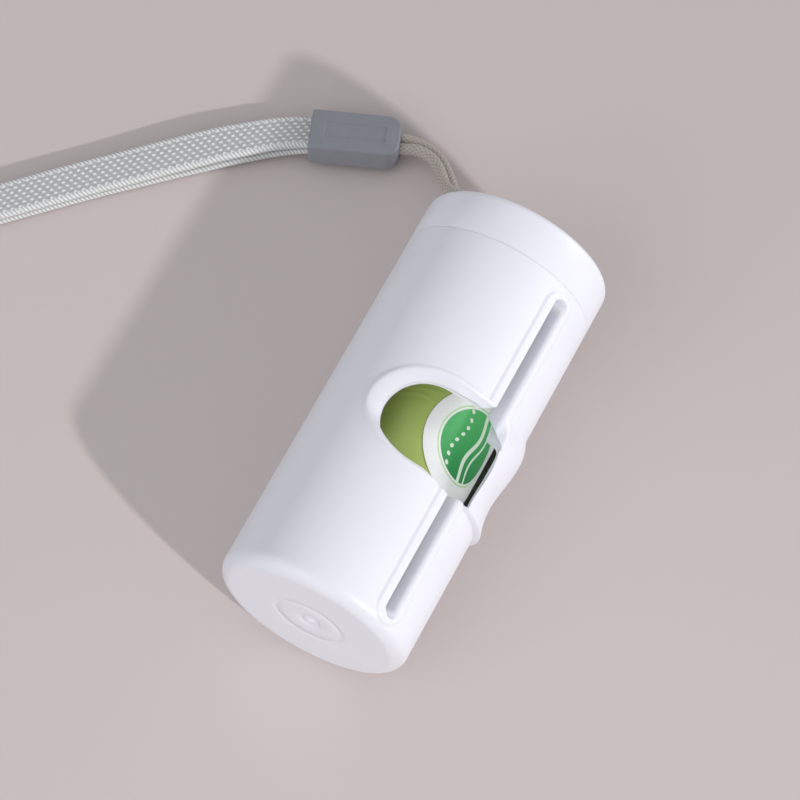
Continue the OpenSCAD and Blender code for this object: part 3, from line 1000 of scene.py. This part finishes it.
def white_plastic(name, roughness, cloud_scale):
    """White satin plastic: light sinks in a little, and its tone and its shine vary slightly."""
    finish = Finish(
        name, (0.815, 0.818, 0.88), roughness,
        Subsurface_Weight=0.35, Subsurface_Radius=(1.0, 0.95, 0.9), Subsurface_Scale=0.8 * MM,
    )
    grain = finish.noise(finish.place(), 9000.0)
    cloud = finish.noise(finish.place(), cloud_scale, 3.0)
    finish.put(
        Base_Color=finish.mix(cloud, (0.80, 0.805, 0.872, 1), (0.825, 0.83, 0.89, 1)),
        Roughness=cloud * 0.1 + (roughness - 0.04),
        Normal=finish.bump(grain, 0.000012, 0.35),
    )
    return finish.material


mesh.materials.append(white_plastic("white_plastic", 0.38, 60.0))
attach(canister, "canister")
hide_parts("canister_body")


# ---- Screw cap: a white moulding with a thin skirt, its wall flush with the canister
# A ridge inside the skirt runs under the neck's. The cord goes through a hole in its middle.
cap_low, cap_wall, ceiling, cap_round, cord_hole_r = 80.74, 0.9, 88.8, 1.7, 2.9
cap_bore_r = body_r - cap_wall
cap_ridge_r, cap_ridge_drop, cap_ridge_run_out = 18.6, 1.4, 12
cap_ridge_foot_w, cap_ridge_tip_w = 1.1, 0.5
lying = (-90, "X")


def is_flat_at(height):
    """A test for what lies level at a height."""
    return lambda mid, ends: all(abs(e.z - height) < 0.01 for e in ends)


def bridge_holes(piece, top, low, radius_top, radius_low, hole_r):
    """Insets the two level faces to a hole's radius and bridges them through the piece."""
    is_top, is_low = is_flat_at(top), is_flat_at(low)
    for is_level, radius in ((is_top, radius_top), (is_low, radius_low)):
        choose(piece, "FACE", lambda mid, ends: is_level(mid, ends) and mid.xy.length < 0.01)
        bpy.ops.mesh.inset(thickness=(radius - hole_r) * MM)
        bpy.ops.object.mode_set(mode="OBJECT")
    choose(piece, "FACE", lambda mid, ends: (
        mid.xy.length < 0.01 and (is_top(mid, ends) or is_low(mid, ends))))
    bpy.ops.mesh.bridge_edge_loops()
    bpy.ops.object.mode_set(mode="OBJECT")


def soften(piece, height, radius, width, segments):
    """Rounds a level circle of edges."""
    is_level = is_flat_at(height)
    bevel_edges(piece, width, segments, lambda mid, ends: (
        is_level(mid, ends) and all(abs(e.xy.length - radius) < 0.02 for e in ends)))


cap = primitive(
    "cap_shell", "cylinder", vertices=192, radius=body_r * MM, depth=(total_h - cap_low) * MM,
    location=(0, 0, (total_h + cap_low) / 2 * MM),
)
fix_place()
choose(cap, "FACE", is_flat_at(cap_low))
bpy.ops.mesh.inset(thickness=cap_wall * MM)
bpy.ops.mesh.extrude_region_move(TRANSFORM_OT_translate={"value": (0, 0, (ceiling - cap_low) * MM)})
bpy.ops.object.mode_set(mode="OBJECT")
bridge_holes(cap, total_h, ceiling, body_r, cap_bore_r, cord_hole_r)
for height, radius, width, segments in (
    (total_h, body_r, cap_round, 12), (total_h, cord_hole_r, 0.4, 4),
    (ceiling, cord_hole_r, 0.3, 3), (ceiling, cap_bore_r, 0.4, 3), (cap_low, body_r, seam_round, 2),
):
    soften(cap, height, radius, width, segments)
settle(cap, laid((axis_x, -total_h / 2, body_r), lying), 40)

turn_deg = np.arange(0, 360 * ridge_turns + 1, 3.0)
swell = ease(turn_deg / cap_ridge_run_out)
swell = swell * ease((360 * ridge_turns - turn_deg) / cap_ridge_run_out)
foot_r = cap_bore_r + 0.15
tip_r = cap_bore_r - (cap_bore_r - cap_ridge_r) * np.maximum(swell, 0.05)
rings = []
for turn, tip in zip(turn_deg, tip_r):
    climb = ridge_low - cap_ridge_drop + ridge_pitch * turn / 360
    section = [
        (foot_r, -cap_ridge_foot_w / 2), (foot_r, cap_ridge_foot_w / 2),
        (tip, cap_ridge_tip_w / 2), (tip, -cap_ridge_tip_w / 2),
    ]
    rings.append([on_canister(ridge_start + turn, climb + y, r) for r, y in section])
cap_ridge = skin_mesh("cap_ridge", np.array(rings))
select_only(cap, cap_ridge)
bpy.ops.object.join()
bpy.ops.object.shade_smooth_by_angle(angle=math.radians(40))

cap.data.materials.append(white_plastic("white_cap_plastic", 0.36, 70.0))
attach(cap, "cap")
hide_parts("screw_cap")


# ---- Roll core: a tube of brown paperboard, wound on a slant from one strip
# No spindle holds the roll: it lies loose in the canister, on the bottom of its bore.
roll_l, roll_low, roll_z = 60.0, 14.7, 17.3
core_r, core_t, strip_w = 6.0, 1.6, 22.0
core = primitive(
    "paper_core", "cylinder", vertices=96, radius=core_r * MM, depth=roll_l * MM,
    location=(0, 0, roll_l / 2 * MM),
)
fix_place()
bridge_holes(core, roll_l, 0, core_r, core_r, core_r - core_t)
for height in (0, roll_l):
    for radius in (core_r, core_r - core_t):
        soften(core, height, radius, 0.2, 2)
settle(core, laid((axis_x, roll_low - total_h / 2, roll_z), lying), 40)

kraft = Finish("brown_paperboard", (0.42, 0.29, 0.17), 0.85)
place = kraft.place()
x, y, z = kraft.split(place)
round_it = (x - axis_x * MM).math("ARCTAN2", z - roll_z * MM) * (1 / (2 * math.pi))
from_seam = ((round_it + y * (1000 / strip_w)).math("FRACT") - 0.5).math("ABSOLUTE")
seam = from_seam.math("GREATER_THAN", 0.49)
fibres = kraft.stretched_noise(place, (2200, 500, 2200), 5.0, 0.7)
brown = kraft.mix(fibres, (0.30, 0.20, 0.11, 1), (0.52, 0.37, 0.23, 1))
kraft.put(
    Base_Color=kraft.mix(seam * 0.6, brown, (0.12, 0.08, 0.05, 1)),
    Normal=kraft.bump(fibres - seam, 0.00005, 0.6),
)
core.data.materials.append(kraft.material)
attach(core, "roll")
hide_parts("roll_core")


# ---- Bag roll: about fifteen bags of thin green film, wound tight on the core
# The film shows fine creases along its turns, and its ends show the edges of the layers.
roll_r, film_bore, layers = 14.5, 6.1, 16
layer_in, layer_out = 0.16, 0.1
film_end = 84.0
roll_turns = np.radians(np.linspace(0, 360, 240, endpoint=False))
film_rows = np.linspace(0.4, roll_l - 0.4, 180)
edges_r = list(enumerate(np.linspace(film_bore + 0.15, roll_r - 0.25, layers)))
# Each crease: the angle and the height of its middle, its reach, how it leans, how deep it is
crease_lines = [
    (-4, 33.6, 24, 0.05, 0.9), (6, 32.4, 30, -0.03, 0.7), (-12, 31.5, 20, 0.09, 0.8),
    (30, 12, 40, 0.04, 0.8), (120, 20, 50, -0.05, 0.9), (200, 40, 60, 0.03, 0.9),
    (280, 28, 50, 0.06, 0.8), (330, 48, 40, -0.04, 0.7),
]


def film_sag(turn, y):
    """How far the film lies under the roll's full radius, 0 to about 0.2 mm."""
    a = np.degrees(turn)
    sag = 0.05 + 0.03 * np.sin(3 * turn + y * 0.11) + 0.02 * np.sin(7 * turn - y * 0.31)
    sag = sag + 0.012 * np.sin(y * 1.7 + 5 * turn)
    for at, along, reach, lean, size in crease_lines:
        beside = (a - at + 180) % 360 - 180
        off = y - along - lean * beside
        fold_up, fold_down = np.exp(-(off / 0.35) ** 2), np.exp(-((off - 0.75) / 0.4) ** 2)
        sag = sag + 0.07 * size * np.exp(-(beside / reach) ** 2) * (fold_up - 0.6 * fold_down)
    past_end = (a - film_end) % 360
    return sag + 0.06 * (past_end < 180) * np.exp(-past_end / 90)


def layer_edges(k, r, waves):
    """The edge of one layer of film at the roll's end: a valley and a ridge, both a little wavy."""
    valley_turn, ridge_turn = waves
    valley = 0.12 + 0.1 * np.sin(roll_turns * 2 + k * valley_turn) ** 2
    ridge = 0.02 + 0.15 * np.abs(np.sin(roll_turns + k * ridge_turn))
    return [(r - layer_in, valley), (r + layer_out, ridge)]


profile = []
for k, r in edges_r:
    profile += layer_edges(k, r, (2.1, 1.3))
profile += [(roll_r - film_sag(roll_turns, y), y) for y in film_rows]
for k, r in reversed(edges_r):
    profile += [(at, roll_l - deep) for at, deep in reversed(layer_edges(k, r, (0.7, 1.7)))]
profile += [(film_bore, roll_l - 0.3), (film_bore, 0.3)]


def on_roll(turn, y, r):
    """A place on the roll, from its turn, its distance from the roll's low end and its radius."""
    across, level = r * np.sin(turn), roll_low - total_h / 2 + y
    return np.stack(np.broadcast_arrays(axis_x + across, level, roll_z + r * np.cos(turn)), -1)


rings = np.array([on_roll(roll_turns, y, r) for r, y in profile])
rings = np.concatenate([rings, rings[:1]])
film_uv = (np.linspace(0, 1, len(roll_turns) + 1), distances(rings.mean(axis=1)))
film = skin_mesh("wound_film", rings, closed_ends=False, uv=film_uv)
select_only(film)
bpy.ops.object.mode_set(mode="EDIT")
bpy.ops.mesh.select_all(action="SELECT")
bpy.ops.mesh.remove_doubles(threshold=0.000001)
bpy.ops.mesh.normals_make_consistent(inside=False)
bpy.ops.object.mode_set(mode="OBJECT")

green = Finish("green_film", (0.36, 0.45, 0.13), 0.42)
place = green.place()
streaks = green.stretched_noise(place, (120, 1900, 120), 4.0, 0.6)
wide = green.stretched_noise(place, (160, 60, 160))
streaky = streaks * 0.5 + wide * 0.5
green.put(
    Base_Color=green.mix(streaky, (0.29, 0.40, 0.086, 1), (0.435, 0.535, 0.155, 1)),
    Roughness=streaks * 0.25 + 0.32,
    Normal=green.bump(streaks, 0.00006, 0.5),
)
film.data.materials.append(green.material)
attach(film, "roll")
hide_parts("bag_roll")


# ---- Roll label: a round of coated white paper, glued over the end of the film
# Its print is a plain one: a green disc with two pale bands and a row of dots.
label_r, label_turn, label_mid = 11.6, math.radians(58.0), 44.7 - roll_low
label_under, label_thick = 14.53, 0.12
rounds, spokes = 22, 96
spoke = np.linspace(0, 2 * math.pi, spokes, endpoint=False)
label_points = [(0.0, 0.0)]
for r in np.linspace(label_r / rounds, label_r, rounds):
    label_points += [(r * math.cos(a), r * math.sin(a)) for a in spoke]
label_points = np.array(label_points)
label_u, label_v = label_points.T
place_3d = on_roll(label_turn + label_u / label_under, label_mid + label_v, label_under)
label_faces = [(0, 1 + (j + 1) % spokes, 1 + j) for j in range(spokes)]
for i in range(rounds - 1):
    a, b = 1 + i * spokes, 1 + (i + 1) * spokes
    for j in range(spokes):
        k = (j + 1) % spokes
        label_faces.append((a + j, a + k, b + k, b + j))
label = computed_piece("paper_label", place_3d, label_faces)
mesh = label.data
layer = mesh.uv_layers.new(name="print")
layer.data.foreach_set("uv", label_points[[loop.vertex_index for loop in mesh.loops]].ravel())
select_only(label)
outwards = Vector((math.sin(label_turn), 0, math.cos(label_turn)))
if mesh.polygons[0].normal.dot(outwards) < 0:
    mesh.flip_normals()
modify(label, "SOLIDIFY", thickness=label_thick * MM, offset=1)
bpy.ops.object.shade_smooth_by_angle(angle=math.radians(40))

paper = Finish("printed_label", (0.86, 0.87, 0.84), 0.4)
where = paper.uv("print")
u, v, _ = paper.split(where)
fibre = paper.noise(where, 6.0, 4.0, 0.7)
disc_u, disc_r = -0.6, 7.4
rim_off, rim_half = 0.55, 0.16
wave_high, wave_turn = 0.7, 0.55
band_lines = ((0.9, 0.5), (3.0, 0.3))
dot_off, dot_pitch, dot_r = 3.4, 1.7, 0.42


def edge_of(distance, soft=0.12):
    """1 where the distance is below zero, with a narrow soft edge."""
    return (distance * (-1 / soft) + 0.5).math("MAXIMUM", 0.0).math("MINIMUM", 1.0)


from_middle = ((u - disc_u) ** 2.0 + v ** 2.0).math("SQRT")
in_disc = edge_of(from_middle - disc_r)
in_rim = edge_of((from_middle - disc_r - rim_off).math("ABSOLUTE") - rim_half)
shade = ((u * 0.45 + v * -0.75) * 0.08 + 0.5).math("MAXIMUM", 0.0).math("MINIMUM", 1.0)
ink = paper.mix(shade, (0.095, 0.47, 0.15, 1), (0.008, 0.235, 0.055, 1))
from_wave = u - disc_u - (v * wave_turn).math("SINE") * wave_high
dot_row = ((v / dot_pitch).math("FRACT") - 0.5) * dot_pitch
pale = edge_of(((from_wave + dot_off) ** 2.0 + dot_row ** 2.0).math("SQRT") - dot_r)
for band_off, band_half in band_lines:
    pale = pale.math("MAXIMUM", edge_of((from_wave - band_off).math("ABSOLUTE") - band_half))
print_color = paper.mix(pale, ink, (0.74, 0.84, 0.72, 1))
white = paper.mix(fibre, (0.81, 0.82, 0.83, 1), (0.86, 0.87, 0.87, 1))
rimmed = paper.mix(in_rim * 0.8, white, (0.42, 0.68, 0.26, 1))
paper.put(
    Base_Color=paper.mix(in_disc, rimmed, print_color),
    Roughness=in_disc * -0.1 + 0.45,
    Normal=paper.bump(fibre, 0.00001, 0.4),
)
label.data.materials.append(paper.material)

# The label lies close behind the lip: a twin of the key lamp lights it alone, past the lip's
# shadow. The rim lamp stands low, and leaves the floor out, where it would make a bright pool.
key_lamp = bpy.data.objects["key_lamp"]
label_lamp = key_lamp.copy()
label_lamp.name = "label_lamp"
scene.collection.objects.link(label_lamp)
for holder, kind, pieces, state in (
    (bpy.data.objects["rim_lamp"], "receiver", [floor], "EXCLUDE"),
    (key_lamp, "receiver", [label], "EXCLUDE"),
    (label_lamp, "receiver", [label], "INCLUDE"),
    (label_lamp, "blocker", [canister, cap], "EXCLUDE"),
):
    group = bpy.data.collections.new(f"{holder.name}_{kind}")
    for piece in pieces:
        group.objects.link(piece)
    for entry in group.collection_objects:
        entry.light_linking.link_state = state
    setattr(holder.light_linking, f"{kind}_collection", group)

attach(label, "roll")
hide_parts("roll_label")
